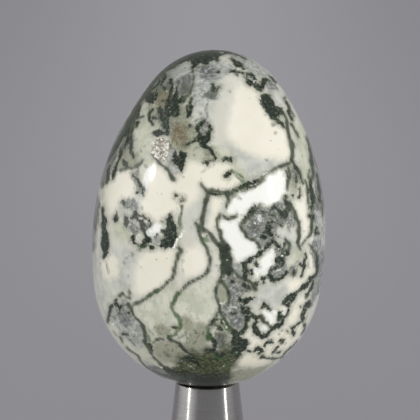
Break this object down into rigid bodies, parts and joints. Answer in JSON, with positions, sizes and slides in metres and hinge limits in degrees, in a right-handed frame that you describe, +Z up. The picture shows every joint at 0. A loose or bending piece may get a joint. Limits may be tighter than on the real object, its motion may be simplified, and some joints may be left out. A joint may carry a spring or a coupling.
{
  "type": "decorative egg on stand",
  "caption": "Polished stone egg that rests on a soft ring in the mouth of a tapered metal column, screwed to a round metal plate with a felt pad.",
  "frame": {"origin": "middle of the felt pad's underside, on the stand's axis", "axes": "+Z up along the column's axis, -Y towards the viewer of the front, +X to the right, the way the egg leans"},
  "size_m": [0.038, 0.038, 0.0882],
  "materials": {
    "stone": "cream and grey stone with dark green moss-like veins, polished to a gloss",
    "ring_rubber": "soft, matt black",
    "column_steel": "fine turning marks round the column, bright rounded lip",
    "plate_steel": "fine turning marks, rings on the top face",
    "felt": "pressed wool felt, near black",
    "screw_steel": "zinc plated",
    "washer_steel": "plain spring steel"
  },
  "bodies": {
    "stand": {"column": "column_steel", "base_plate": "plate_steel", "felt_pad": "felt", "base_screw": "screw_steel", "spring_washer": "washer_steel"},
    "seat": {"seat_ring": "ring_rubber"},
    "egg": {"stone_egg": "stone"}
  },
  "joints": [
    {"name": "egg_turn", "type": "hinge", "parent": "stand", "child": "seat", "pos_m": [0, 0, 0.0405], "axis": [0, 0, 1], "continuous": true},
    {"name": "egg_lift", "type": "slide", "parent": "seat", "child": "egg", "axis": [0, 0, 1], "range_m": [0, 0.06]}
  ]
}
